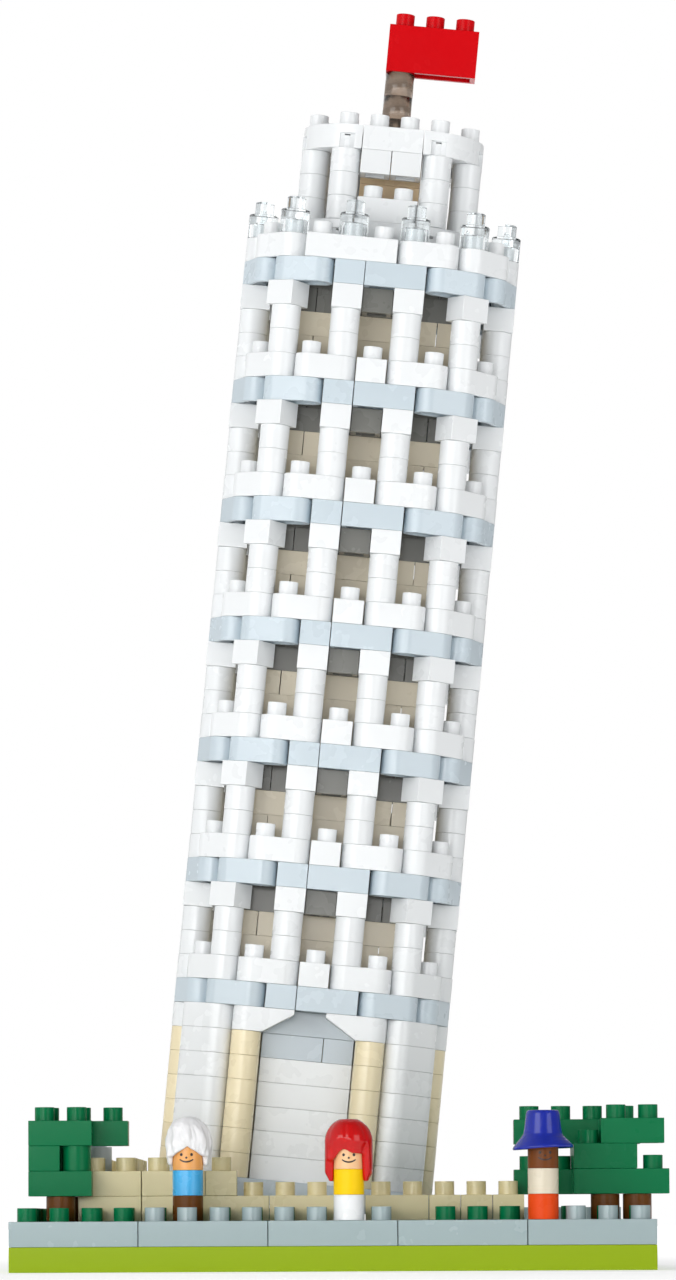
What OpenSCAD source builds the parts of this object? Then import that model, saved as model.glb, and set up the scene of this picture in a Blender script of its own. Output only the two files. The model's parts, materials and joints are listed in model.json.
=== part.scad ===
// Leaning bell tower on a square garden base, built from small stacking bricks.
// X runs to the right, Y to the back, Z up. The origin is the centre of the
// base's underside. Most places are counted in studs (one stud = one pitch).

/* [Brick system] */
// Distance between two studs
pitch = 4; // [3.8:0.1:4.2]
// Height of one brick layer
layer = 3.15; // [3.1:0.05:3.3]
// Stud diameter
stud_d = 2.45; // [2.3:0.05:2.45]
// Stud height
stud_h = 1.7; // [1.2:0.1:1.7]
// Gap between neighbouring bricks, in plan
side_gap = 0.1; // [0.08:0.02:0.16]
// Gap between two layers
layer_gap = 0.02; // [0.02:0.01:0.04]
// Wall left round a brick's hollow underside
wall = 0.75; // [0.65:0.05:0.75]
// Depth of the hollow underside
hollow_h = 1.85; // [1.8:0.05:2]
// Diameter of a round one-stud brick
drum_d = 3.8; // [3.5:0.1:3.8]

/* [Base] */
// Side of the square base, in studs
base_n = 20; // [20:1:20]
// Studs along a border brick
border_brick_n = 4; // [4:1:4]

/* [Tower] */
// Lean to the right, in degrees
lean = 5.65; // [4.5:0.05:5.8]
// Right lower edge of the tower, from the middle of the base
heel_x = 12.6; // [12:0.1:13]
// Middle of the tower, towards the back, in studs
tower_y = 2; // [1.5:0.5:2.5]
// Arcaded storeys
storeys = 6; // [6:1:6]
// Half width of the ring, in studs, to its side rows
ring_r = 4; // [4:1:4]
// Layers of the ground floor
ground_n = 7; // [7:1:7]

/* [Flag] */
// Brick drums in the flagpole
pole_n = 3; // [2:1:4]
// Studs along the flag
flag_n = 3; // [2:1:4]

/* [Trees] */
// Trunk diameter
trunk_d = 3.6; // [3.4:0.1:3.8]

/* [Figures] */
// Brim radius of the hat
brim_r = 3.75; // [3.2:0.05:3.9]
// Crown radius of the hat
crown_r = 2.3; // [2.2:0.05:2.5]
// Height of the hat above the head
hat_h = 4.1; // [3.2:0.1:4.5]
// Outer radius of the bobbed hair
bob_r = 2.95; // [2.7:0.05:3]
// Height of the bobbed hair above the head
bob_rise = 3.3; // [2.6:0.1:3.6]
// How far the bobbed hair falls below the head's top
bob_fall = 4.5; // [3:0.1:4.6]
// Width of the face that the bobbed hair leaves free
bob_face = 3; // [2.6:0.1:3.2]
// Outer radius of the bushy hair
bush_r = 3; // [2.8:0.05:3.1]
// Height of the bushy hair above the head
bush_rise = 3.6; // [2.6:0.1:3.8]
// How far the bushy hair falls below the head's top
bush_fall = 2.2; // [1.6:0.1:2.6]
// Width of the face that the bushy hair leaves free
bush_face = 3.4; // [2.6:0.1:3.6]

/* [Hidden] */
$fn = 32;
cut = 0.5;                          // how far a cutter runs past a face
stud_r = stud_d / 2;
drum_r = drum_d / 2;
bore_r = pitch / 2 - wall;          // round hollow under a drum
top = 2 * layer;                    // level of the base's studded surface
tower_base = ring_r + 0.5;          // half width of the foundation
storey_n = 5;                       // layers in a storey
first_ring = 1 + ground_n;          // layer of the lowest ring
cornice = first_ring + storeys * storey_n;
parapet_at = cornice + 1;
belfry_at = parapet_at + 1;
belfry_n = 5;                       // layers of the belfry
pole_at = belfry_at + belfry_n;
flag_at = pole_at + pole_n;
last_row = base_n / 2 - 0.5;        // outermost row of studs on the base
sides = [0, 90, 180, 270];

// Half of the ring's studs, from the middle of the front to the middle of the
// back: straight rows on the four sides, joined by links turned 21, 45 and 69
// degrees, each one pitch long.
turn = [0, 0, 21, 45, 69, 90, 90, 90, 90, 111, 135, 159, 180, 180];
function walk(n) = n == 0 ? [0, -ring_r]
    : walk(n - 1) + [cos(turn[n - 1]), sin(turn[n - 1])];
function ring_stud(i) = i >= 0 ? walk(i) : [-walk(-i)[0], walk(-i)[1]];
function link_turn(i, j) = let (d = ring_stud(j) - ring_stud(i)) atan2(d[1], d[0]);
back = 14;                          // the ring's stud at the middle of the back

// ---------------------------------------------------------------- bricks

module stud() {
    translate([0, 0, layer - layer_gap - cut / 10]) cylinder(h = stud_h + cut / 10, r = stud_r);
}

// Square brick of nx by ny studs, centred, with its underside at z = 0. It is one
// layer high, or more where tall says so.
module brick(nx, ny, studs = true, tall = 1) {
    difference() {
        translate([-(nx * pitch - side_gap) / 2, -(ny * pitch - side_gap) / 2, 0])
            cube([nx * pitch - side_gap, ny * pitch - side_gap, tall * layer - layer_gap]);
        translate([-(nx * pitch / 2 - wall), -(ny * pitch / 2 - wall), -cut])
            cube([nx * pitch - 2 * wall, ny * pitch - 2 * wall, hollow_h + cut]);
    }
    if (studs) for (i = [0:nx - 1], j = [0:ny - 1])
        translate([(i - (nx - 1) / 2) * pitch, (j - (ny - 1) / 2) * pitch, (tall - 1) * layer])
            stud();
}

// Round one-stud brick.
module drum(r = drum_r) {
    difference() {
        cylinder(h = layer - layer_gap, r = r);
        translate([0, 0, -cut]) cylinder(h = hollow_h + cut, r = bore_r);
    }
    stud();
}

// Brick of n studs in a line along X with round ends, first stud at the origin.
module link(n) {
    r = (pitch - side_gap) / 2;
    difference() {
        union() {
            for (i = [0, n - 1]) translate([i * pitch, 0, 0]) cylinder(h = layer - layer_gap, r = r);
            translate([0, -r, 0]) cube([(n - 1) * pitch, 2 * r, layer - layer_gap]);
        }
        translate([0, -bore_r, -cut])
            cube([(n - 1) * pitch, 2 * bore_r, hollow_h + cut]);
        for (i = [0, n - 1]) translate([i * pitch, 0, -cut])
            cylinder(h = hollow_h + cut, r = bore_r);
    }
    for (i = [0:n - 1]) translate([i * pitch, 0, 0]) stud();
}

// ---------------------------------------------------------------- places

// A place on the base, in studs, at a layer of the base.
module at(x, y, level = 0) {
    translate([x * pitch, y * pitch, level * layer]) children();
}

// The tower's own frame: its axis is Z and its foundation's underside is z = 0.
// It leans about the foundation's right lower edge.
module leaning() {
    translate([heel_x, tower_y * pitch, top]) rotate([0, lean, 0])
        translate([-tower_base * pitch, 0, 0]) children();
}

// A ring's stud, with X turned along the ring where that matters.
module on_ring(i, level, angle = 0) {
    translate([ring_stud(i)[0] * pitch, ring_stud(i)[1] * pitch, level * layer])
        rotate([0, 0, angle]) children();
}

// Round-ended bricks over the pairs of ring studs listed.
module links(pairs, level) {
    for (p = pairs) on_ring(p[0], level, link_turn(p[0], p[1])) link(2);
}

// Pairs on the right side, and the same pairs mirrored to the left.
function mirrored(pairs) = concat(pairs, [for (p = pairs) [-p[0], -p[1]]]);

// Trims a corner brick of the shaft where a ring's diagonal link passes it.
module inside_links() {
    diagonal = norm((ring_stud(3) + ring_stud(4)) / 2) * pitch;
    reach = diagonal - pitch / 2 - side_gap / 2;
    intersection() {
        children();
        rotate([0, 0, 45]) translate([-reach, -reach, -cut])
            cube([2 * reach, 2 * reach, 2 * layer]);
    }
}

// ---------------------------------------------------------------- base

module base_plate() {
    color("yellowgreen") {
        translate([-(base_n * pitch - side_gap) / 2, -(base_n * pitch - side_gap) / 2, 0])
            cube([base_n * pitch - side_gap, base_n * pitch - side_gap, layer - layer_gap]);
        for (i = [-last_row:last_row], side = [-1, 1]) at(i, side * last_row) stud();
        for (j = [-last_row + 1:last_row - 1], side = [-1, 1]) at(side * last_row, j) stud();
    }
}

// Five bricks along the front and the back. Two of the front bricks are smooth.
module border() {
    smooth = [0, 3];
    color([0.64, 0.71, 0.73]) for (k = [0:4]) {
        x = (k - 2) * border_brick_n;
        at(x, -last_row, 1) brick(border_brick_n, 1, len(search(k, smooth)) == 0);
        at(x, last_row, 1) brick(border_brick_n, 1);
    }
}

// Grass round the footing: [x, y, studs along X, studs along Y].
first_side = -last_row + 1 + (border_brick_n - 1) / 2;
lawn_bricks = concat(
    [for (side = [-1, 1], k = [0:3]) [side * last_row, first_side + k * border_brick_n, 1, 4]],
    [for (side = [-1, 1]) [side * last_row, last_row - 1.5, 1, 2]],
    [for (k = [0:1]) [-7 + 4 * k, -8, 4, 2]], [[0.5, -8, 3, 2], [2.5, -8, 1, 2]],
    [[5, -8, 4, 2], [8, -8, 2, 2]],
    [[-8, -6, 2, 2]], [for (k = [0:3]) [-5 + 4 * k, -6, 4, 2]],
    [for (k = [0:3]) [-7 + 4 * k, -4, 4, 2]], [[8, -4, 2, 2]],
    [[-8, 8, 2, 2]], [for (k = [0:3]) [-5 + 4 * k, 8, 4, 2]],
    [for (k = [0:1]) [-8, -1 + 4 * k, 2, 4]], [[-8, 6, 2, 2], [-6.5, -2, 1, 2]],
    [for (k = [0:1]) [-6.5, 1 + 4 * k, 1, 4]],
    [for (k = [0:1], x = [5, 7]) [x, -1 + 4 * k, 2, 4]], [[5, 6, 2, 2], [7, 6, 2, 2]],
    [[8.5, -2, 1, 2], [8.5, 1, 1, 4], [8.5, 5, 1, 4]]);

// The grass is smooth behind the right tree, and on one brick before the tower.
function smooth_grass(b) = (b[0] > ring_r && b[1] > -5) || (b[0] == 2.5 && b[1] == -8);

module lawn() {
    color("seagreen") for (b = lawn_bricks) at(b[0], b[1], 1)
        brick(b[2], b[3], !smooth_grass(b));
}

// Smooth bricks that carry the tower.
module footing() {
    color("slategray") for (row = [0:4]) {
        flip = row % 2 == 0 ? 1 : -1;
        for (b = [[-3, 4], [1, 4], [4, 2]])
            at(-1 + flip * b[0], -2 + 2 * row, 1) brick(b[1], 2, false);
    }
}

// The row of bricks under the tower's left edge, which makes it lean.
module riser() {
    color("slategray") for (y = [-2, 2]) at(-5.5, tower_y + y, 2) brick(1, 4, false);
}

// ---------------------------------------------------------------- ground floor

module foundation() {
    color([0.72, 0.76, 0.79]) leaning() {
        for (a = sides) rotate([0, 0, a]) {
            translate([-2 * pitch, -2.5 * pitch, 0]) brick(5, 4, false);
            for (i = [-2, 2]) translate([i * pitch, -ring_r * pitch, 0]) stud();
        }
        brick(1, 1, false);
    }
}

module ground_columns() {
    color("wheat") leaning() for (k = [1:ground_n - 1], a = sides, i = [-2, 2])
        rotate([0, 0, a]) translate([i * pitch, -ring_r * pitch, k * layer]) drum();
}

module ground_corners() {
    color("white") leaning() for (k = [1:ground_n]) links(mirrored([[3, 4], [10, 11]]), k);
}

// White panels that fill the four recesses.
module door_panels() {
    color("white") leaning() for (k = [1:ground_n - 2], a = sides) rotate([0, 0, a])
        translate([0, -(ring_r - 1) * pitch, k * layer]) brick(3, 1);
}

// Gray bricks over the panels, in a row of two and one, and a row of three.
module door_heads() {
    color([0.72, 0.76, 0.79]) leaning() for (a = sides) rotate([0, 0, a]) {
        translate([-0.5 * pitch, -(ring_r - 1) * pitch, (ground_n - 1) * layer]) brick(2, 1);
        translate([pitch, -(ring_r - 1) * pitch, (ground_n - 1) * layer]) brick(1, 1);
        translate([0, -(ring_r - 1) * pitch, ground_n * layer]) brick(3, 1, false);
    }
}

// One brick of an arch: two studs long on top, one below, with a sloped soffit
// and a round outer end.
module arch_brick() {
    w = pitch - side_gap;
    long = 2 * pitch - side_gap;
    lip = 0.6;
    difference() {
        intersection() {
            rotate([90, 0, 0]) translate([0, 0, -w / 2]) linear_extrude(height = w)
                polygon([[-w / 2, 0], [w / 2, 0], [long - w / 2, layer - layer_gap - lip],
                         [long - w / 2, layer - layer_gap], [-w / 2, layer - layer_gap]]);
            union() {
                cylinder(h = layer, r = w / 2);
                translate([0, -w / 2, 0]) cube([long, w, layer]);
            }
        }
        translate([0, 0, -cut]) cylinder(h = hollow_h + cut, r = bore_r);
    }
    for (i = [0, 1]) translate([i * pitch, 0, 0]) stud();
}

module arch_bricks() {
    color("white") leaning() for (a = sides) rotate([0, 0, a]) for (side = [0, 1])
        mirror([side, 0, 0]) translate([-2 * pitch, -ring_r * pitch, ground_n * layer])
            arch_brick();
}

// Hidden stack inside the ground floor.
module ground_core() {
    color("wheat") leaning() for (k = [1:ground_n])
        mirror([k % 2, 0, 0]) for (a = sides) rotate([0, 0, a])
            translate([-0.5 * pitch, -2 * pitch, k * layer]) brick(4, 1, false);
}

// ---------------------------------------------------------------- storeys

module ring(level) {
    color([0.72, 0.76, 0.79]) leaning() {
        on_ring(-1, level) brick(1, 1);
        translate([0.5 * pitch, -ring_r * pitch, level * layer]) brick(2, 1);
        links([[2, 3], [4, 5], [6, 7], [8, 9], [10, 11], [12, 13]], level);
        links([[-3, -2], [-5, -4], [-7, -6], [-9, -8], [-11, -10], [-13, -12]], level);
        on_ring(back, level) brick(1, 1);
    }
}

module rail(level) {
    color("white") leaning() {
        for (i = [0, 7, -7, back]) on_ring(i, level) brick(1, 1);
        links(mirrored([[1, 2], [3, 4], [5, 6], [8, 9], [10, 11], [12, 13]]), level);
    }
}

// Fourteen columns: two round drums and a square capital on every second stud.
// A capital is turned to face outwards as its place on the ring does.
capital_turn = [0, 33, 90, 90, 90, 147, 180];
module colonnade(level) {
    color("white") leaning() for (k = [0:6], side = [-1, 1]) {
        i = side * (2 * k + 1);
        for (n = [0, 1]) on_ring(i, level + n) drum();
        on_ring(i, level + 2, side * capital_turn[k]) brick(1, 1);
    }
}

module ring_1() { ring(first_ring); }
module ring_2() { ring(first_ring + storey_n); }
module ring_3() { ring(first_ring + 2 * storey_n); }
module ring_4() { ring(first_ring + 3 * storey_n); }
module ring_5() { ring(first_ring + 4 * storey_n); }
module ring_6() { ring(first_ring + 5 * storey_n); }
module rail_1() { rail(first_ring + 1); }
module rail_2() { rail(first_ring + 1 + storey_n); }
module rail_3() { rail(first_ring + 1 + 2 * storey_n); }
module rail_4() { rail(first_ring + 1 + 3 * storey_n); }
module rail_5() { rail(first_ring + 1 + 4 * storey_n); }
module rail_6() { rail(first_ring + 1 + 5 * storey_n); }
module colonnade_1() { colonnade(first_ring + 2); }
module colonnade_2() { colonnade(first_ring + 2 + storey_n); }
module colonnade_3() { colonnade(first_ring + 2 + 2 * storey_n); }
module colonnade_4() { colonnade(first_ring + 2 + 3 * storey_n); }
module colonnade_5() { colonnade(first_ring + 2 + 4 * storey_n); }
module colonnade_6() { colonnade(first_ring + 2 + 5 * storey_n); }

// One layer of the shaft behind the arcades: four bricks round a hollow, laid
// the other way round in every second layer so that the corners bond.
module core_layer(k) {
    translate([0, 0, k * layer]) mirror([k % 2, 0, 0]) for (a = sides) rotate([0, 0, a])
        inside_links() translate([-0.5 * pitch, -2.5 * pitch, 0]) {
            brick(5, 1, false);
            for (i = [-2, 2]) translate([i * pitch, 0, 0]) stud();
        }
}

module core_cream() {
    color("wheat") leaning() for (s = [0:storeys - 1], n = [1:3])
        core_layer(first_ring + s * storey_n + n);
}

// The front and the back also have a block between the two middle capitals.
module core_gray() {
    color("slategray") leaning() {
        for (s = [0:storeys - 1], n = [0, 4]) core_layer(first_ring + s * storey_n + n);
        for (s = [0:storeys - 1], side = [-1, 1])
            translate([0, side * 3.5 * pitch, (first_ring + s * storey_n + 4) * layer])
                brick(1, 1, false);
        core_layer(cornice);
    }
}

// ---------------------------------------------------------------- top of the shaft

module cornice_ring() { ring(cornice); }

module parapet() {
    color("white") leaning() {
        translate([-1 * pitch, -ring_r * pitch, parapet_at * layer]) brick(3, 1);
        links([for (i = [1:2:11]) [i, i + 1]], parapet_at);
        links([for (i = [-12:2:-4]) [i, i + 1]], parapet_at);
        translate([0, ring_r * pitch, parapet_at * layer]) brick(3, 1);
    }
}

module pinnacles() {
    color([0.9, 0.95, 1, 0.5]) leaning() for (k = [0:6], side = [-1, 1])
        on_ring(side * (2 * k + 1), belfry_at) drum();
}

// Floor inside the parapet, with no stud under the belfry's rounded corners.
module deck() {
    color("white") leaning() translate([0, 0, parapet_at * layer]) {
        for (a = sides) rotate([0, 0, a]) inside_links() translate([-pitch, -2 * pitch, 0]) {
            brick(4, 2, false);
            for (i = [-1.5:1.5], j = [-0.5, 0.5]) if (i > -1.5 || j > 0)
                translate([i * pitch, j * pitch, 0]) stud();
        }
        brick(2, 2);
    }
}

// ---------------------------------------------------------------- belfry

// Two by two brick whose outer corner is a quarter round, with a notch at the
// foot of each of its two outer walls. The outer corner points to -X and -Y.
module corner_brick() {
    w = 2 * pitch - side_gap;
    notch = pitch / 2 - side_gap / 2;
    stud_places = [[1, 1], [1, -1], [-1, 1]];
    difference() {
        intersection() {
            translate([-w / 2, -w / 2, 0]) cube([w, w, layer - layer_gap]);
            translate([w / 2, w / 2, 0]) cylinder(h = layer - layer_gap, r = w, $fn = 64);
        }
        for (m = [0, 1]) mirror([m, -m, 0])
            translate([pitch / 2 - notch / 2, -w / 2 - cut, -cut])
                cube([notch, wall + cut, notch + cut]);
        for (p = stud_places) translate([p[0] * pitch / 2, p[1] * pitch / 2, -cut])
            cylinder(h = hollow_h + cut, r = bore_r);
    }
    for (p = stud_places) translate([p[0] * pitch / 2, p[1] * pitch / 2, 0]) stud();
}

module belfry_corners(level) {
    for (a = sides) rotate([0, 0, a])
        translate([-2 * pitch, -2 * pitch, level * layer]) corner_brick();
}

module belfry_sill() {
    color("white") leaning() {
        belfry_corners(belfry_at);
        for (a = sides) rotate([0, 0, a])
            translate([0, -2.5 * pitch, belfry_at * layer]) brick(2, 1);
    }
}

module belfry_columns() {
    color("white") leaning() for (a = sides, k = [1:3], side = [-1, 1]) rotate([0, 0, a])
        translate([side * 1.5 * pitch, -2.5 * pitch, (belfry_at + k) * layer]) drum();
}

// Front and back: a low wall and a lintel of two single bricks, with the
// opening between them. Left and right: the low wall only.
module belfry_walls() {
    color("white") leaning() for (a = sides) rotate([0, 0, a])
        translate([0, -2.5 * pitch, 0]) {
            translate([0, 0, (belfry_at + 1) * layer]) brick(2, 1);
            if (a % 180 == 0) for (side = [-1, 1])
                translate([side * pitch / 2, 0, (belfry_at + 3) * layer]) brick(1, 1);
        }
}

module belfry_crown() {
    crown = belfry_at + belfry_n - 1;
    color("white") leaning() {
        belfry_corners(crown);
        for (a = sides) rotate([0, 0, a])
            translate([0, -2.5 * pitch, crown * layer]) brick(2, 1);
        for (side = [-1, 1]) translate([0, side * 1.5 * pitch, crown * layer]) brick(2, 1);
        for (side = [-1, 1]) translate([side * 1.5 * pitch, 0, crown * layer]) brick(1, 2);
        translate([0, 0, crown * layer]) { brick(2, 2, false); stud(); }
    }
}

// Tan pillar inside the belfry, under the flagpole.
module belfry_pillar() {
    color([0.86, 0.76, 0.62]) leaning() for (k = [0:belfry_n - 2])
        translate([0, 0, (belfry_at + k) * layer]) brick(2, 2);
}

// ---------------------------------------------------------------- flag

module flagpole() {
    color([0.35, 0.28, 0.2, 0.7]) leaning() for (k = [0:pole_n - 1])
        translate([0, 0, (pole_at + k) * layer]) drum();
}

module flag() {
    color("red") leaning() translate([(flag_n - 1) / 2 * pitch, 0, flag_at * layer])
        brick(flag_n, 1, tall = 2);
}

// ---------------------------------------------------------------- garden

// Tan walls: [x, y, studs along X, studs along Y, layer].
wall_bricks = [
    [-7, -6.5, 2, 1, 2], [-4, -6.5, 4, 1, 2], [-0.5, -6.5, 3, 1, 2], [2, -6.5, 2, 1, 2],
    [3.5, -6.5, 1, 1, 2], [4.5, -6.5, 1, 1, 2], [5.5, -6.5, 1, 1, 2],
    [-7, -5.5, 2, 1, 2], [-5, -5.5, 2, 1, 2], [-7, -4.5, 2, 1, 2], [-5, -4.5, 2, 1, 2],
    [-7, -2, 2, 4, 2], [-7, 2, 2, 4, 2],
    [-7, -6.5, 2, 1, 3], [-5, -6.5, 2, 1, 3], [-3.5, -6.5, 1, 1, 3],
    [-6.5, -5, 3, 2, 3], [-7, -2, 2, 4, 3], [-7, 2, 2, 4, 3]];

module garden_wall() {
    color("wheat") for (b = wall_bricks) at(b[0], b[1], b[4]) brick(b[2], b[3]);
}

module corner_post() {
    color("slategray") at(-7.5, -4.5, 4) drum();
}

// Where the trunks stand, in studs.
trunks = [[-8.5, -7.5], [-8.5, -4.5], [8.5, -7.5], [9.5, -7.5]];

module tree_trunks() {
    color("saddlebrown") for (p = trunks) at(p[0], p[1], 2) drum(trunk_d / 2);
}

// Leaves are bricks laid off the grid: [x, y, studs along X, studs along Y, layer].
module leaves(list) {
    color("forestgreen") for (b = list) at(b[0], b[1], b[4]) brick(b[2], b[3]);
}

module tree_left_leaves() {
    leaves([[-8.5, -7.5, 2, 1, 3], [-8.5, -5.5, 1, 3, 3],
            [-9, -7.5, 1, 1, 4], [-8.5, -6, 1, 2, 4],
            [-8.5, -7.5, 2, 1, 5], [-7.9, -6.5, 3, 1, 5]]);
    color("forestgreen") at(-8, -7.5, 4) drum(trunk_d / 2);
}

module tree_right_leaves() {
    leaves([[9, -7.5, 3, 1, 3], [7.2, -5.5, 3, 1, 3], [8.5, -6.5, 2, 3, 4],
            [9.35, -7.5, 2, 1, 5], [7.7, -5.5, 4, 1, 5]]);
}

// ---------------------------------------------------------------- figures

// Where the three figures stand, in studs.
walker = [-4.5, -8.5];
guide = [0.5, -9.5];
visitor = [6.5, -9.5];

module figure_part(place, k) {
    at(place[0], place[1], 2 + k) children();
}

head_clear = 0.06;                  // play between a head and what it wears
worn = stud_h + 0.05;               // how high a head's stud stands inside

// The inside of hair and hats: a socket on the head's stud.
module head_socket() {
    translate([0, 0, -cut]) cylinder(h = worn + cut, r = bore_r);
}

// Hair seen from above is round; it falls past the head behind and beside it,
// and leaves the face free in front.
module hair(r, rise, fall, face) {
    dome = 0.55 * r;                // height of the flattened dome
    difference() {
        union() {
            cylinder(h = rise - dome, r = r);
            translate([0, 0, rise - dome]) intersection() {
                sphere(r = r);
                translate([-r, -r, 0]) cube([2 * r, 2 * r, dome]);
            }
            translate([0, 0, -fall]) cylinder(h = fall, r = r);
        }
        translate([0, 0, -fall - cut]) cylinder(h = fall + cut, r = drum_r + head_clear);
        head_socket();
        translate([-face / 2, -r - cut, -fall - cut]) cube([face, r + cut, fall + cut]);
    }
}

module walker_legs() { color("sienna") figure_part(walker, 0) drum(); }
module walker_torso() { color("skyblue") figure_part(walker, 1) drum(); }
module walker_head() { color("sandybrown") figure_part(walker, 2) drum(); }
module walker_hair() {
    color("white") figure_part(walker, 3) hair(bush_r, bush_rise, bush_fall, bush_face);
}

module guide_legs() { color("white") figure_part(guide, 0) drum(); }
module guide_torso() { color("gold") figure_part(guide, 1) drum(); }
module guide_head() { color("burlywood") figure_part(guide, 2) drum(); }
module guide_hair() {
    color("crimson") figure_part(guide, 3) hair(bob_r, bob_rise, bob_fall, bob_face);
}

module visitor_legs() { color("orangered") figure_part(visitor, 0) drum(); }
module visitor_torso() { color("ivory") figure_part(visitor, 1) drum(); }
module visitor_head() { color("saddlebrown") figure_part(visitor, 2) drum(); }

// Hat with a flared brim that dips a little below the top of the head.
module visitor_hat() {
    dip = 0.75;
    color("mediumblue") figure_part(visitor, 3) difference() {
        rotate_extrude($fn = 48) polygon([[0, -dip], [brim_r, -dip], [brim_r, -dip + 0.35],
            [brim_r - 0.8, 0.25], [crown_r + 0.45, 0.7], [crown_r + 0.1, 1.5],
            [crown_r - 0.15, hat_h - 0.6], [crown_r - 0.6, hat_h], [0, hat_h]]);
        translate([0, 0, -dip - cut]) cylinder(h = dip + cut, r = drum_r + head_clear);
        head_socket();
    }
}

// ---------------------------------------------------------------- assembly

base_plate();
border();
lawn();
footing();
riser();
foundation();
ground_columns();
ground_corners();
door_panels();
door_heads();
arch_bricks();
ground_core();
ring_1();
ring_2();
ring_3();
ring_4();
ring_5();
ring_6();
rail_1();
rail_2();
rail_3();
rail_4();
rail_5();
rail_6();
colonnade_1();
colonnade_2();
colonnade_3();
colonnade_4();
colonnade_5();
colonnade_6();
core_cream();
core_gray();
cornice_ring();
parapet();
pinnacles();
deck();
belfry_sill();
belfry_columns();
belfry_walls();
belfry_crown();
belfry_pillar();
flagpole();
flag();
garden_wall();
corner_post();
tree_trunks();
tree_left_leaves();
tree_right_leaves();
walker_legs();
walker_torso();
walker_head();
walker_hair();
guide_legs();
guide_torso();
guide_head();
guide_hair();
visitor_legs();
visitor_torso();
visitor_head();
visitor_hat();
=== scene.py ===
"""Looks for the leaning bell tower of small stacking bricks.

Every CAD node is shown by a moulded piece: the same bricks with rounded edges, small
differences in how they sit, and a glossy plastic. Hair, hat, flagpole and printed faces are
modelled here. Lengths are in metres, and a number that is multiplied by MM is in millimetres.
"""
import json
import math
import random

import bmesh
import bpy
import numpy as np
from mathutils import Matrix, Vector, noise


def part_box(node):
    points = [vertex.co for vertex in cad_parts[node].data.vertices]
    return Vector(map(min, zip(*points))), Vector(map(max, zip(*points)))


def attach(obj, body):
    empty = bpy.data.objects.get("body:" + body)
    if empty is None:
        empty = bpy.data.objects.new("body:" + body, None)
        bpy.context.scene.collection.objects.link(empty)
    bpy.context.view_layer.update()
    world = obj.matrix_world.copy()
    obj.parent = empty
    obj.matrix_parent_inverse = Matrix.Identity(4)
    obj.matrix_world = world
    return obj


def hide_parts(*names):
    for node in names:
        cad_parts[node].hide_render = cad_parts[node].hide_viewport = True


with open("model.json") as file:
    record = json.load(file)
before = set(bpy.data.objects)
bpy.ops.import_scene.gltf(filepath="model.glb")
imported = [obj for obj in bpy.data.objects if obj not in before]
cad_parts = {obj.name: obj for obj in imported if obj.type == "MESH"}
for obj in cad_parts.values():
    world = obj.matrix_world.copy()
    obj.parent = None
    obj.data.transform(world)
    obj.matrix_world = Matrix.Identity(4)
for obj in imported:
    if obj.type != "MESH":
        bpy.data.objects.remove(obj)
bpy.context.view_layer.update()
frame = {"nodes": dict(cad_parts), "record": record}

MM = 0.001
ROOT = "tower_and_garden"
SLOT_OF = {s["node"]: s["material_slot"] for s in frame["record"]["subparts"]}
BODY_OF = {n: b for b, names in frame["record"]["behaviour"]["bodies"].items() for n in names}

# Brick sizes, in millimetres.
LAYER, LAYER_GAP = 3.15, 0.02
STUD_R, STUD_TALL = 1.225, 1.7
ROUND_R = 1.9                       # round 1x1 bricks and heads
BRICK_TALL = LAYER - LAYER_GAP


# ------------------------------------------------------------------ materials

def linear(colour):
    """An sRGB colour as the renderer's linear one."""
    return tuple(c / 12.92 if c <= 0.04045 else ((c + 0.055) / 1.055) ** 2.4
                 for c in colour) + (1.0,)


def maths(tree, kind, a, b):
    """A Math node on two values, each a number or another node's output."""
    made = tree.nodes.new("ShaderNodeMath")
    made.operation = kind
    for value, socket in zip((a, b), made.inputs):
        if isinstance(value, (int, float)):
            socket.default_value = value
        else:
            tree.links.new(value, socket)
    return made.outputs[0]


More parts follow.
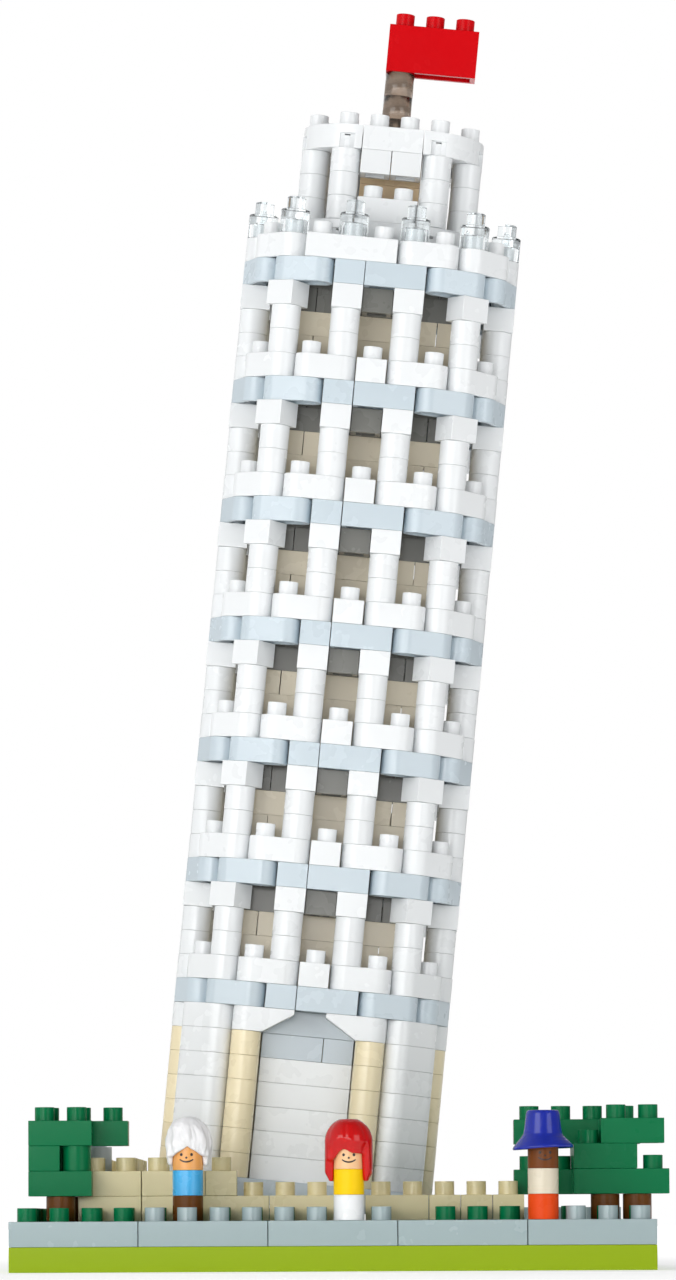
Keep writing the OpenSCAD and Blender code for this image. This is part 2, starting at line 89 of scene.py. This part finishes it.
class Shader:
    """A new Principled material, with short ways to add and join nodes."""

    def __init__(self, name):
        self.material = bpy.data.materials.new(name)
        self.material.use_nodes = True
        self.tree = self.material.node_tree
        self.bsdf = self.tree.nodes["Principled BSDF"]
        self.place = self.add("ShaderNodeTexCoord").outputs["Object"]

    def add(self, kind, **values):
        made = self.tree.nodes.new(kind)
        for key, value in values.items():
            setattr(made, key, value)
        return made

    def link(self, source, target):
        self.tree.links.new(source, target)

    def noise(self, scale, detail, stretch=None):
        made = self.add("ShaderNodeTexNoise")
        made.inputs["Scale"].default_value = scale
        made.inputs["Detail"].default_value = detail
        source = self.place
        if stretch is not None:
            mapping = self.add("ShaderNodeMapping")
            mapping.inputs["Scale"].default_value = stretch
            self.link(self.place, mapping.inputs["Vector"])
            source = mapping.outputs["Vector"]
        self.link(source, made.inputs["Vector"])
        return made.outputs["Fac"]

    def span(self, source, low, high, start=0.3, end=0.7):
        """The source's range from start to end, spread from low to high. Noise stays mostly
        between 0.3 and 0.7."""
        made = self.add("ShaderNodeMapRange")
        self.link(source, made.inputs["Value"])
        made.inputs["From Min"].default_value = start
        made.inputs["From Max"].default_value = end
        made.inputs["To Min"].default_value = low
        made.inputs["To Max"].default_value = high
        return made.outputs["Result"]

    def maths(self, kind, a, b):
        return maths(self.tree, kind, a, b)

    def per_brick(self, low, high):
        """A value between low and high that is the same all over one brick."""
        island = self.add("ShaderNodeNewGeometry").outputs["Random Per Island"]
        return self.span(island, low, high, 0.0, 1.0)

    def tinted(self, colour, amount):
        """The colour times a grey value from nodes."""
        mix = self.add("ShaderNodeMix", data_type="RGBA", blend_type="MULTIPLY")
        mix.inputs["Factor"].default_value = 1.0
        mix.inputs["A"].default_value = linear(colour)
        self.link(amount, mix.inputs["B"])
        return mix.outputs["Result"]

    def bump(self, height, distance, normal=None):
        made = self.add("ShaderNodeBump")
        made.inputs["Distance"].default_value = distance
        self.link(height, made.inputs["Height"])
        if normal is not None:
            self.link(normal, made.inputs["Normal"])
        return made.outputs["Normal"]

    def set(self, **values):
        for key, value in values.items():
            self.bsdf.inputs[key.replace("_", " ")].default_value = value


ABS_TONE = (0.992, 1.006)           # the tone's drift over one brick
ABS_ROUGHNESS = (0.24, 0.29)
BRICK_ROUGHNESS = 0.03              # how much one brick is smoother or rougher than the next
SINK_WAVES, GRAIN = 0.005, 0.0015   # heights, in millimetres
SHINE, DULL_SHINE = 0.5, 0.12


def plastic(name, colour, vary, shine=SHINE):
    """Moulded ABS: an even gloss with slow sink waves, a fine grain, and a tone for each brick."""
    s = Shader(name)
    drift = s.span(s.noise(160, 3), *ABS_TONE)
    tone = s.maths("MULTIPLY", s.per_brick(1 - vary, 1 + vary), drift)
    s.link(s.tinted(colour, tone), s.bsdf.inputs["Base Color"])
    own_gloss = s.per_brick(-BRICK_ROUGHNESS, BRICK_ROUGHNESS)
    s.link(s.maths("ADD", s.span(s.noise(420, 2), *ABS_ROUGHNESS), own_gloss),
           s.bsdf.inputs["Roughness"])
    waves = s.bump(s.noise(230, 1), SINK_WAVES * MM)
    s.link(s.bump(s.noise(5200, 3), GRAIN * MM, waves), s.bsdf.inputs["Normal"])
    s.set(IOR=1.53, Specular_IOR_Level=shine)
    return s.material


def clear_plastic(name, colour, rough, streaks=0.97):
    """Clear moulded plastic with upright streaks; streaks is how bright the darkest one is."""
    s = Shader(name)
    s.link(s.tinted(colour, s.span(s.noise(900, 2, stretch=(1, 1, 0.08)), streaks, 1.0)),
           s.bsdf.inputs["Base Color"])
    s.link(s.span(s.noise(900, 3), rough, rough + 0.05), s.bsdf.inputs["Roughness"])
    s.link(s.bump(s.noise(260, 2, stretch=(1, 1, 3)), 0.02 * MM), s.bsdf.inputs["Normal"])
    s.set(Transmission_Weight=1.0, IOR=1.49)
    return s.material


def lacquer(name, colour, smooth, rough, grain=(1, 1, 1)):
    """Soft polished moulding with a clear gloss, for hair and hats."""
    s = Shader(name)
    s.link(s.tinted(colour, s.span(s.noise(500, 3, stretch=grain), 0.93, 1.05)),
           s.bsdf.inputs["Base Color"])
    s.link(s.span(s.noise(900, 3, stretch=grain), smooth, rough), s.bsdf.inputs["Roughness"])
    s.link(s.bump(s.noise(1400, 2, stretch=grain), 0.01 * MM), s.bsdf.inputs["Normal"])
    s.set(IOR=1.5, Specular_IOR_Level=0.3, Coat_Weight=0.25, Coat_Roughness=0.08)
    return s.material


def ink(name, colour):
    """Pad-printed ink, a little matt and uneven."""
    s = Shader(name)
    s.link(s.tinted(colour, s.span(s.noise(4000, 2), 0.85, 1.1)), s.bsdf.inputs["Base Color"])
    s.link(s.span(s.noise(5000, 2), 0.3, 0.42), s.bsdf.inputs["Roughness"])
    return s.material


COLOURS = {
    "lime": (0.57, 0.67, 0.08), "border_gray": (0.60, 0.67, 0.68), "grass": (0.0, 0.46, 0.28),
    "stone_gray": (0.76, 0.80, 0.83), "tan": (0.94, 0.885, 0.74), "cream": (0.86, 0.82, 0.73),
    "shadow_gray": (0.44, 0.44, 0.42), "ring_gray": (0.77, 0.82, 0.85),
    "amber_tan": (0.95, 0.84, 0.68), "flag_red": (0.81, 0.02, 0.06), "bark": (0.40, 0.24, 0.09),
    "leaf": (0.0, 0.44, 0.26), "sky_blue": (0.25, 0.68, 0.90), "light_skin_tan": (0.93, 0.66, 0.36),
    "white": (0.915, 0.925, 0.93), "yellow": (0.97, 0.80, 0.05), "peach": (0.95, 0.76, 0.55),
    "orange": (0.87, 0.28, 0.07), "brown_head": (0.46, 0.26, 0.12),
}
VARY, WHITE_VARY = 0.03, 0.015      # how much the tone differs from brick to brick


def shine_of(colour):
    """Strong colours get less shine, so that pale reflections don't wash them out."""
    return DULL_SHINE if min(colour) < 0.13 else SHINE


MATERIALS = {k: plastic(k + "_plastic", c, WHITE_VARY if k == "white" else VARY, shine_of(c))
             for k, c in COLOURS.items()}
MATERIALS["wall_tan"] = plastic("wall_tan_plastic", (0.87, 0.82, 0.63), VARY)
MATERIALS["clear"] = clear_plastic("clear_plastic", (0.97, 0.985, 0.99), 0.03)
MATERIALS["smoke"] = clear_plastic("smoke_plastic", (0.56, 0.49, 0.43), 0.16, streaks=0.45)
HAIR_WHITE = lacquer("hair_white", (0.95, 0.95, 0.955), 0.26, 0.4, grain=(1, 1, 0.35))
HAIR_RED = lacquer("hair_red", (0.78, 0.03, 0.04), 0.08, 0.15, grain=(1, 1, 0.3))
HAT_BLUE = lacquer("hat_blue", (0.10, 0.17, 0.62), 0.14, 0.24)
FACE_INK = ink("face_ink", (0.13, 0.05, 0.02))


# ------------------------------------------------------------------ meshes

def area_normals(mesh):
    """Sets each vertex's normal from its faces, large faces counting most, so that flat sides
    stay flat and rounded edges shade smoothly."""
    count = len(mesh.polygons)
    normals, areas = np.zeros(count * 3, np.float32), np.zeros(count, np.float32)
    mesh.polygons.foreach_get("normal", normals)
    mesh.polygons.foreach_get("area", areas)
    sizes, corners = np.zeros(count, np.int32), np.zeros(len(mesh.loops), np.int32)
    mesh.polygons.foreach_get("loop_total", sizes)
    mesh.loops.foreach_get("vertex_index", corners)
    weighted = normals.reshape(-1, 3) * areas[:, None]
    total = np.zeros((len(mesh.vertices), 3))
    np.add.at(total, corners, np.repeat(weighted, sizes, axis=0))
    total /= np.maximum(np.linalg.norm(total, axis=1), 1e-20)[:, None]
    mesh.normals_split_custom_set_from_vertices(total.tolist())


def piece(name, mesh, body, slot, material, *stands_for):
    """A visible object on a body, with its material and the CAD nodes that it replaces. The slot
    argument is not used.
    """
    made = bpy.data.objects.new(name, mesh)
    bpy.context.scene.collection.objects.link(made)
    mesh.materials.clear()
    mesh.materials.append(material)
    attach(made, body)
    if stands_for:
        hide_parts(*stands_for)


def islands(mesh):
    """The mesh's separate solids, each a list of vertices."""
    seen, found = set(), []
    for first in mesh.verts:
        if first in seen:
            continue
        seen.add(first)
        group = [first]
        for v in group:
            for e in v.link_edges:
                other = e.other_vert(v)
                if other not in seen:
                    seen.add(other)
                    group.append(other)
        found.append(group)
    return found


# Nodes that reach the sides of the CAD box, so their bricks sit exactly.
OUTERMOST = ("base_plate", "border", "lawn")
# How unevenly the other bricks sit: degrees of tilt and of turn, and a shift in millimetres.
TILT, SPIN, SHIFT = 0.06, 0.16, 0.012


def settle(mesh, draw):
    """Shifts and turns each brick by a hair, as pressed bricks sit."""
    for group in islands(mesh):
        centre = sum((v.co for v in group), Vector()) / len(group)
        turn = Matrix.Identity(3)
        for axis, most in (("X", TILT), ("Y", TILT), ("Z", SPIN)):
            turn = turn @ Matrix.Rotation(math.radians(draw.uniform(-most, most)), 3, axis)
        shift = Vector([draw.uniform(-SHIFT, SHIFT) * MM for _ in range(2)] + [0.0])
        for v in group:
            v.co = centre + turn @ (v.co - centre) + shift


# The width of a rounded edge, in millimetres. Bricks with narrow gaps or notches take a fine one.
EDGE, FINE_EDGE = 0.045, 0.02
FINE_EDGED = ("core_cream", "core_gray", "belfry_sill", "belfry_crown")
WELD = 0.002                        # points closer than this are one, in millimetres
FLAT, SHARP = 1, 35                 # degrees: less is one face, more is an edge to round


def moulded(node):
    """A CAD node as moulded plastic: its solids with rounded edges."""
    edge = (FINE_EDGE if node in FINE_EDGED else EDGE) * MM
    bricks = bmesh.new()
    bricks.from_mesh(frame["nodes"][node].data)
    bmesh.ops.remove_doubles(bricks, verts=bricks.verts, dist=WELD * MM)
    bmesh.ops.dissolve_limit(bricks, angle_limit=math.radians(FLAT), verts=bricks.verts,
                             edges=bricks.edges)
    sharp = [e for e in bricks.edges if e.calc_face_angle(0.0) > math.radians(SHARP)]
    bmesh.ops.bevel(bricks, geom=sharp, offset=edge, offset_type="OFFSET", segments=1,
                    profile=0.7, affect="EDGES", clamp_overlap=False)
    if BODY_OF[node] == ROOT and node not in OUTERMOST:
        settle(bricks, random.Random(node))
    bmesh.ops.triangulate(bricks, faces=[f for f in bricks.faces if len(f.verts) > 4])
    for f in bricks.faces:
        f.smooth = True
    mesh = bpy.data.meshes.new(node + "_moulded")
    bricks.to_mesh(mesh)
    bricks.free()
    area_normals(mesh)
    slot = SLOT_OF[node]
    look = "wall_tan" if node == "garden_wall" else slot
    piece(node + "_moulded", mesh, BODY_OF[node], slot, MATERIALS[look], node)


def turned(name, sections):
    """A closed mesh from columns of points round a centre: sections[column][row]. The first and
    last rows are drawn together at the axis."""
    mesh = bmesh.new()
    columns = [[mesh.verts.new(p) for p in column] for column in sections]
    for a, b in zip(columns, columns[1:] + columns[:1]):
        for i in range(len(a) - 1):
            mesh.faces.new((a[i], a[i + 1], b[i + 1], b[i]))
    bmesh.ops.remove_doubles(mesh, verts=[c[0] for c in columns] + [c[-1] for c in columns],
                             dist=0.001 * MM)
    bmesh.ops.recalc_face_normals(mesh, faces=mesh.faces)
    for f in mesh.faces:
        f.smooth = True
    made = bpy.data.meshes.new(name)
    mesh.to_mesh(made)
    mesh.free()
    return made


def smoothstep(x, low, high):
    """0 below low and 1 above high, with a smooth rise between."""
    t = min(max((x - low) / (high - low), 0.0), 1.0)
    return t * t * (3 - 2 * t)


# ------------------------------------------------------------------ figures

def head_place(figure):
    """The axis of a figure, and the height of its head's top, where what it wears begins."""
    low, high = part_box(figure + "_torso")
    head_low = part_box(figure + "_head")[0].z
    return (low.x + high.x) / 2, (low.y + high.y) / 2, head_low + BRICK_TALL * MM


# The inside of hair and hats, in millimetres from the head's axis and from its top: a hollow
# round the head, a lift above it, and a socket for its stud.
HOLLOW_R, LIFT, SOCKET_R, SOCKET_TOP = 1.97, 0.03, 1.27, 1.78
SOCKET = [(HOLLOW_R, LIFT), (SOCKET_R, LIFT), (SOCKET_R, SOCKET_TOP), (0.0, SOCKET_TOP)]
THINNEST = 0.03                     # half the least thickness at the lower edge
COLUMNS, ROWS = 180, 56


def worn(name, figure, outer, lower_edge, rim=0.16):
    """Hair round a head. outer(angle, share, edge) gives the outside's radius and height, with
    share running from 0 at the crown to 1 at the lower edge. Angle 0 faces the front. The lower
    edge is rounded, rim deep."""
    cx, cy, top = head_place(figure)
    sections = []
    for k in range(COLUMNS):
        angle = 2 * math.pi * k / COLUMNS
        edge = lower_edge(angle)
        profile = [outer(angle, i / (ROWS - 1), edge) for i in range(ROWS)]
        r, z = profile[-1]
        mid = (r + HOLLOW_R) / 2
        half = max((r - HOLLOW_R) / 2, THINNEST)
        depth = min(rim, half)
        profile += [(mid + half * math.cos(a), z - depth * math.sin(a))
                    for a in (math.radians(d) for d in (30, 60, 90, 120, 150))]
        profile += [(HOLLOW_R, z + (LIFT - z) * i / 4) for i in range(4)] + SOCKET
        profile[0] = (0.0, profile[0][1])
        out = (math.sin(angle), -math.cos(angle))
        sections.append([(cx + r * MM * out[0], cy + r * MM * out[1], top + z * MM)
                         for r, z in profile])
    return turned(name, sections)


def front(angle):
    """An angle measured from the front, from -180 to 180 degrees, right side positive."""
    d = math.degrees(angle)
    return d - 360 if d > 180 else d


def dome(share, edge, crown, shoulder, radius, power):
    """Radius and height down a dome and its straight side, by the share of the way down. The
    crown, the shoulder and the edge are heights, and a power over 2 squares the dome off."""
    arc = 0.52                      # the share at which the dome ends
    if share < arc:
        t = math.pi / 2 * (1 - share / arc)
        up = math.sin(t) ** (2 / power)
        return radius * max(math.cos(t), 0.0) ** (2 / power), shoulder + (crown - shoulder) * up
    return radius, shoulder + (edge - shoulder) * (share - arc) / (1 - arc)


def bob_edge(angle):
    """The red hair's lower edge: a fringe swept to the left over the face, long elsewhere."""
    d = front(angle)
    parting, side = -0.45, -4.35
    if d < -18:
        fringe = parting - 1.55 * smoothstep(-d, 14, 76)
    else:
        fringe = parting - 0.5 * smoothstep(d, -20, 15) - 0.1 * smoothstep(d, 15, 50)
    left, right = smoothstep(-d, 68, 78), smoothstep(d, 53, 63)
    return fringe + (side - fringe) * max(left, right)


def bob(angle, share, edge):
    """The red hair's outside: smooth, in broad locks, drawn in below, dimpled at the crown."""
    r, z = dome(share, edge, crown=3.25, shoulder=0.2, radius=2.98, power=2.05)
    d = front(angle)
    locks = abs(math.sin(math.radians(d * 3.4 + 20) + 0.12 * z))
    r -= 0.10 * (1 - locks) ** 2 * smoothstep(share, 0.12, 0.35)
    r -= 0.55 * smoothstep(-z, 3.3, 4.7) ** 1.2
    over_face = 1 - smoothstep(abs(d), 44, 62)
    r -= over_face * 0.55 * smoothstep(z, edge + 1.3, edge) if edge > -3 else 0.0
    dimple = 1 - smoothstep(r, 0.75, 1.15)
    return r, z - 0.16 * dimple * (z > 2)


def bush_edge(angle):
    """The white hair's lower edge: a pointed opening over the face, ragged round the back."""
    d = abs(front(angle))
    point = -1.5 * math.sin(math.radians(min(d, 90)))
    ragged = -2.35 + 0.22 * math.sin(math.radians(front(angle) * 7)) - 0.3 * smoothstep(d, 90, 180)
    return point + (ragged - point) * smoothstep(d, 66, 78)


def bush(angle, share, edge):
    """The white hair's outside: full and uneven, in tufts and strands, drawn in below."""
    r, z = dome(share, edge, crown=3.55, shoulder=0.1, radius=2.84, power=2.25)
    d = front(angle)
    x, y = math.sin(angle) * r, -math.cos(angle) * r
    fluff = noise.noise(Vector((x * 0.62, y * 0.62, z * 0.42 + 4.0)))
    strands = noise.noise(Vector((x * 2.6 + 0.5 * z, y * 2.6, z * 0.55 - 7.0)))
    lean = smoothstep(share, 0.05, 0.4)
    r += lean * (0.34 * fluff + 0.16 * strands)
    r += lean * 0.09 * math.sin(math.radians(d * 9) + 1.1 * z)
    r -= 0.45 * smoothstep(-z, 1.0, 2.9)
    over_face = 1 - smoothstep(abs(d), 46, 66)
    r -= over_face * 0.34 * smoothstep(z, edge + 1.1, edge)
    return max(r, 2.12) if share > 0.4 else r, z + 0.1 * lean * fluff


# The outside of the hat from the middle of its crown to the tip of its brim: radius and height
# above the head's top, in millimetres. HAT_UNDER goes on from there to the hollow.
HAT_PROFILE = [(0.0, 3.82), (0.9, 3.84), (1.35, 3.9), (1.62, 4.02), (1.8, 4.05), (1.94, 3.98),
               (2.04, 3.8), (2.1, 3.5), (2.18, 2.8), (2.27, 2.0), (2.36, 1.45), (2.41, 1.3),
               (2.40, 1.2), (2.46, 1.08), (2.58, 0.9), (2.78, 0.66), (2.92, 0.55), (2.98, 0.44),
               (3.14, 0.28), (3.28, 0.16), (3.34, 0.06), (3.5, -0.12), (3.64, -0.28),
               (3.72, -0.42), (3.75, -0.52)]
HAT_UNDER = [(3.72, -0.66), (3.62, -0.72), (3.4, -0.62), (3.1, -0.42), (2.7, -0.25), (2.3, -0.2),
             (2.1, -0.2), (HOLLOW_R, -0.12)]


def hat_sections(figure):
    """The hat: a tapered crown with a sunk top, and a ribbed brim that waves a little."""
    cx, cy, top = head_place(figure)
    sections = []
    for k in range(COLUMNS):
        angle = 2 * math.pi * k / COLUMNS
        out = (math.sin(angle), -math.cos(angle))
        wave = 0.16 * math.sin(angle + 0.3) + 0.06 * math.sin(2 * angle + 1.0)
        column = []
        for r, z in HAT_PROFILE + HAT_UNDER + SOCKET:
            z += wave * smoothstep(r, 2.4, 3.75)
            column.append((cx + r * MM * out[0], cy + r * MM * out[1], top + z * MM))
        sections.append(column)
    return sections


def wear(figure, what, mesh, material):
    node = f"{figure}_{what}"
    piece(node + "_piece", mesh, BODY_OF[node], SLOT_OF[node], material, node)


wear("guide", "hair", worn("bob", "guide", bob, bob_edge, rim=0.3), HAIR_RED)
wear("walker", "hair", worn("bush", "walker", bush, bush_edge), HAIR_WHITE)
wear("visitor", "hat", turned("hat", hat_sections("visitor")), HAT_BLUE)


# The ink's outer and inner radius, either side of the head's own.
INK_PROUD, INK_SUNK = ROUND_R + 0.015, ROUND_R - 0.04


def printed(figure, turn, drop):
    """Eyes, nose and smile printed on a head, as thin raised ink, all lower by drop. Places are
    the width round the head and the height above its underside, in millimetres."""
    cx, cy, top = head_place(figure)
    base = top - BRICK_TALL * MM
    mesh = bmesh.new()

    def point(u, v, r):
        a = u / ROUND_R + turn
        return mesh.verts.new((cx + r * MM * math.sin(a), cy - r * MM * math.cos(a),
                               base + v * MM))

    def patch(outline):
        """A flat shape, given as its outline, wrapped on the head with its sides sunk in."""
        middle = (sum(p[0] for p in outline) / len(outline),
                  sum(p[1] for p in outline) / len(outline))
        centre = point(*middle, INK_PROUD + 0.004)
        rim = [point(u, v, INK_PROUD) for u, v in outline]
        foot = [point(u, v, INK_SUNK) for u, v in outline]
        for i in range(len(rim)):
            j = (i + 1) % len(rim)
            mesh.faces.new((centre, rim[j], rim[i]))
            mesh.faces.new((rim[i], rim[j], foot[j], foot[i]))
        mesh.faces.new(foot)

    def spot(u, v, wide, tall):
        """An ellipse."""
        patch([(u + wide / 2 * math.cos(a), v + tall / 2 * math.sin(a))
               for a in (2 * math.pi * i / 24 for i in range(24))])

    def smile(wide, high_v, low_v, thick):
        """A strip along an arc, thinner at its ends."""
        steps = 20
        line = [((i / steps - 0.5) * wide, low_v + (high_v - low_v) * (2 * i / steps - 1) ** 2)
                for i in range(steps + 1)]
        upper, lower = [], []
        for i, (u, v) in enumerate(line):
            a, b = line[max(i - 1, 0)], line[min(i + 1, steps)]
            d = Vector((b[0] - a[0], b[1] - a[1])).normalized()
            t = thick / 2 * (0.72 + 0.28 * math.sin(math.pi * i / steps))
            upper.append((u - d.y * t, v + d.x * t))
            lower.append((u + d.y * t, v - d.x * t))
        strips = list(zip(upper, lower))
        rows = [[point(*p, INK_PROUD) for p in pair] for pair in strips]
        feet = [[point(*p, INK_SUNK) for p in pair] for pair in strips]
        for i in range(steps):
            mesh.faces.new((rows[i][0], rows[i + 1][0], rows[i + 1][1], rows[i][1]))
            for side in (0, 1):
                mesh.faces.new((rows[i][side], rows[i + 1][side], feet[i + 1][side],
                                feet[i][side]))
            mesh.faces.new((feet[i][0], feet[i][1], feet[i + 1][1], feet[i + 1][0]))
        for i in (0, steps):
            mesh.faces.new((rows[i][0], rows[i][1], feet[i][1], feet[i][0]))

    for side in (-1, 1):
        spot(side * 0.65, 1.92 - drop, 0.36, 0.38)
    spot(0.0, 1.54 - drop, 0.28, 0.27)
    smile(1.74, 1.33 - drop, 1.02 - drop, 0.2)
    bmesh.ops.recalc_face_normals(mesh, faces=mesh.faces)
    made = bpy.data.meshes.new(figure + "_print")
    mesh.to_mesh(made)
    mesh.free()
    head = figure + "_head"
    piece(figure + "_face_print", made, BODY_OF[head], SLOT_OF[head], FACE_INK)


for figure, degrees, drop in (("walker", -4, 0.0), ("guide", 0, 0.17), ("visitor", 6, 0.0)):
    printed(figure, math.radians(degrees), drop)

# ------------------------------------------------------------------ flagpole and bricks

POLE_DRUMS, POLE_COLUMNS = 3, 96
GROOVE = 0.03                       # the chamfer at each end of a drum, in millimetres


def flag_axis():
    """The hinge of the flag: a point at the top of the pole's last drum, and the tower's axis."""
    joint = next(j for j in frame["record"]["behaviour"]["joints"] if j["name"] == "flag_turn")
    axis = Vector(joint["axis"]).normalized()
    return Vector(joint["pos_m"]) - axis * (LAYER_GAP * MM), axis


def solid_pole():
    """The flagpole as one solid clear piece: barrels with a fine groove between them, and the
    stud that the flag turns on. Rows are radius and height, in millimetres."""
    rows = [(0.0, 0.0)]
    for k in range(POLE_DRUMS):
        low = k * LAYER
        rows += [(ROUND_R - GROOVE, low), (ROUND_R, low + GROOVE),
                 (ROUND_R, low + LAYER - GROOVE), (ROUND_R - GROOVE, low + BRICK_TALL)]
    top = POLE_DRUMS * LAYER - LAYER_GAP
    tip = top + STUD_TALL
    rows += [(STUD_R, top), (STUD_R, tip - GROOVE), (STUD_R - GROOVE, tip), (0.0, tip)]
    drum_top, axis = flag_axis()
    side = axis.orthogonal().normalized()
    across = axis.cross(side)
    sections = []
    for k in range(POLE_COLUMNS):
        a = 2 * math.pi * k / POLE_COLUMNS
        out = side * math.cos(a) + across * math.sin(a)
        sections.append([drum_top + out * (r * MM) + axis * ((z - top) * MM) for r, z in rows])
    slot = SLOT_OF["flagpole"]
    piece("flagpole_clear", turned("flagpole_clear", sections), BODY_OF["flagpole"], slot,
          MATERIALS[slot], "flagpole")


solid_pole()

# Every node that no piece has replaced so far.
for node in frame["nodes"]:
    if not frame["nodes"][node].hide_render:
        moulded(node)


# ------------------------------------------------------------------ studio

FLOOR_R = 6.0
FLOOR_GLOW = (0.42, 0.9)            # near the tower and far from it
FLOOR_GLOW_AT = (0.1, 0.7)          # the distances from the tower, in metres


def studio_floor():
    """A wide, even, pale floor, just under the base."""
    s = Shader("floor_paper")
    s.link(s.tinted((0.97, 0.97, 0.97), s.span(s.noise(3, 2), 0.99, 1.0)),
           s.bsdf.inputs["Base Color"])
    s.link(s.span(s.noise(40, 2), 0.75, 0.85), s.bsdf.inputs["Roughness"])
    far = s.add("ShaderNodeVectorMath", operation="LENGTH")
    s.link(s.place, far.inputs[0])
    glow = s.span(far.outputs["Value"], *FLOOR_GLOW, *FLOOR_GLOW_AT)
    s.link(glow, s.bsdf.inputs["Emission Strength"])
    s.set(Specular_IOR_Level=0.2, Emission_Color=(1.0, 1.0, 1.0, 1.0))
    mesh = bmesh.new()
    bmesh.ops.create_circle(mesh, cap_ends=True, segments=96, radius=FLOOR_R)
    made = bpy.data.meshes.new("floor")
    mesh.to_mesh(made)
    mesh.free()
    made.materials.append(s.material)
    floor = bpy.data.objects.new("floor", made)
    bpy.context.scene.collection.objects.link(floor)
    floor.location = (0, 0, -0.02 * MM)


def softbox(name, azimuth, elevation, distance, size, power, aim=0.08, spread=180):
    """A lamp aimed at a height on the tower. Azimuth 0 is in front of it, 90 to its right."""
    data = bpy.data.lights.new(name, "AREA")
    data.shape = "RECTANGLE"
    data.size, data.size_y = size
    data.energy = power
    data.spread = math.radians(spread)
    lamp = bpy.data.objects.new(name, data)
    bpy.context.scene.collection.objects.link(lamp)
    a, e = math.radians(azimuth), math.radians(elevation)
    target = Vector((0.0, 0.0, aim))
    away = Vector((math.sin(a) * math.cos(e), -math.cos(a) * math.cos(e), math.sin(e)))
    lamp.location = target + away * distance
    lamp.rotation_mode = "QUATERNION"
    lamp.rotation_quaternion = away.to_track_quat("Z", "Y")


studio_floor()
softbox("key", -35, 9, 1.0, (0.62, 0.6), 3.45)
softbox("side", 40, 7, 1.0, (0.5, 0.6), 2.05)
softbox("low", -10, 7, 0.95, (0.5, 0.1), 0.055, aim=0.0, spread=30)
softbox("back", 180, 30, 1.0, (0.8, 0.6), 1.3)


# The world's brightness along each axis, forward and backward.
WORLD_LIGHT = {"X": (0.16, 0.70), "Y": (0.2, 0.18), "Z": (0.12, 0.0)}


def studio_world():
    """Soft light that is strongest from the left. The camera sees plain white, also through
    clear plastic."""
    world = bpy.data.worlds.new("studio")
    bpy.context.scene.world = world
    world.use_nodes = True
    tree = world.node_tree
    nodes, links = tree.nodes, tree.links
    split = nodes.new("ShaderNodeSeparateXYZ")
    links.new(nodes.new("ShaderNodeTexCoord").outputs["Generated"], split.inputs[0])
    total = 0.0
    for axis, (forward, backward) in WORLD_LIGHT.items():
        along = split.outputs[axis]
        side = maths(tree, "MAXIMUM", maths(tree, "MULTIPLY", along, forward),
                     maths(tree, "MULTIPLY", along, -backward))
        total = maths(tree, "ADD", side, total)
    path = nodes.new("ShaderNodeLightPath").outputs
    direct = maths(tree, "MAXIMUM", path["Is Camera Ray"], path["Is Transmission Ray"])
    background = nodes["Background"]
    background.inputs["Color"].default_value = (1.0, 1.0, 1.0, 1.0)
    links.new(maths(tree, "MAXIMUM", direct, total), background.inputs["Strength"])


studio_world()


# The camera stands low in front of the base and looks up a little, with the view shifted up.
CAMERA_PLACE = (0.00205, -0.73955, 0.006)
CAMERA_TURN, CAMERA_TILT, CAMERA_ROLL = 0.1, 3.296, -0.276      # degrees
FOCAL_LENGTH, SHIFT_UP = 159.54, 0.2


def studio_camera():
    lens = bpy.data.cameras.new("camera")
    lens.lens = FOCAL_LENGTH
    lens.sensor_width = 36.0
    lens.sensor_fit = "AUTO"
    lens.shift_y = SHIFT_UP
    lens.clip_start, lens.clip_end = 0.01, 50.0
    camera = bpy.data.objects.new("camera", lens)
    bpy.context.scene.collection.objects.link(camera)
    camera.matrix_world = (
        Matrix.Translation(CAMERA_PLACE)
        @ Matrix.Rotation(math.radians(CAMERA_TURN), 4, "Z")
        @ Matrix.Rotation(math.radians(90 + CAMERA_TILT), 4, "X")
        @ Matrix.Rotation(math.radians(CAMERA_ROLL), 4, "Z"))
    bpy.context.scene.camera = camera
    bpy.context.scene.view_settings.view_transform = "Standard"


studio_camera()
